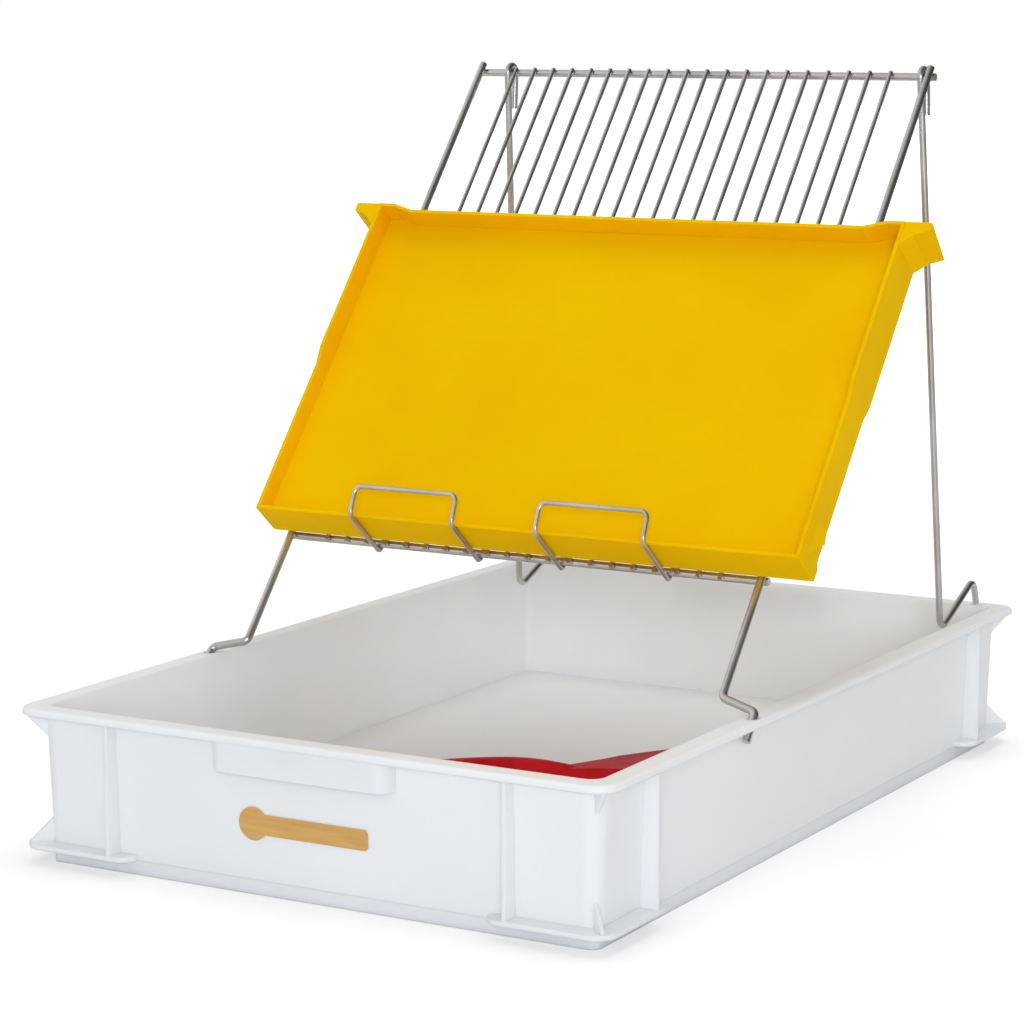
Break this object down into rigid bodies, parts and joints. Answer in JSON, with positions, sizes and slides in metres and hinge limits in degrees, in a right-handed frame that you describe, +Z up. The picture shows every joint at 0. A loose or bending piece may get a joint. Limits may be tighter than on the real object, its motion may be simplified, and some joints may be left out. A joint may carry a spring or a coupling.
{
  "type": "uncapping tank",
  "caption": "Shallow white stacking tub with a slanted wire rack on two rear legs that holds a yellow comb frame over it, with a red uncapping fork inside.",
  "frame": {"origin": "centre of the tub's base on the ground", "axes": "+Z up, +Y from the front grip to the rear legs, +X to the right seen from the front"},
  "size_m": [0.4218, 0.6, 0.4668],
  "materials": {
    "tub_plastic": "satin",
    "rack_steel": "drawn bright",
    "frame_plastic": "satin",
    "fork_plastic": "gloss",
    "tine_steel": "polished"
  },
  "bodies": {
    "tub": {"tub": "tub_plastic"},
    "rack": {"left_side_rod": "rack_steel", "right_side_rod": "rack_steel", "top_cross_rod": "rack_steel", "bottom_cross_rod": "rack_steel", "hook_cross_rod": "rack_steel", "grid_wire_01": "rack_steel", "grid_wire_02": "rack_steel", "grid_wire_03": "rack_steel", "grid_wire_04": "rack_steel", "grid_wire_05": "rack_steel", "grid_wire_06": "rack_steel", "grid_wire_07": "rack_steel", "grid_wire_08": "rack_steel", "grid_wire_09": "rack_steel", "grid_wire_10": "rack_steel", "grid_wire_11": "rack_steel", "grid_wire_12": "rack_steel", "grid_wire_13": "rack_steel", "grid_wire_14": "rack_steel", "grid_wire_15": "rack_steel", "grid_wire_16": "rack_steel", "grid_wire_17": "rack_steel", "grid_wire_18": "rack_steel", "grid_wire_19": "rack_steel", "grid_wire_20": "rack_steel", "left_stop_hook": "rack_steel", "right_stop_hook": "rack_steel"},
    "left_leg": {"left_rear_leg": "rack_steel"},
    "right_leg": {"right_rear_leg": "rack_steel"},
    "frame": {"comb_frame": "frame_plastic"},
    "fork": {"fork_handle": "fork_plastic", "fork_tines": "tine_steel"}
  },
  "joints": [
    {"name": "rack_lift", "type": "slide", "parent": "tub", "child": "rack", "axis": [0, 0.6374, 0.7705], "range_m": [0, 0.2]},
    {"name": "left_leg_swing", "type": "hinge", "parent": "rack", "child": "left_leg", "pos_m": [-0.147, 0.19893, 0.45909], "axis": [1, 0, 0], "range_deg": [0, 85]},
    {"name": "right_leg_swing", "type": "hinge", "parent": "rack", "child": "right_leg", "pos_m": [0.1635, 0.19893, 0.45909], "axis": [1, 0, 0], "range_deg": [0, 85]},
    {"name": "frame_lift", "type": "slide", "parent": "rack", "child": "frame", "axis": [0, 0.6374, 0.7705], "range_m": [0, 0.25]},
    {"name": "fork_lift", "type": "slide", "parent": "tub", "child": "fork", "axis": [0, 0, 1], "range_m": [0, 0.1]}
  ]
}
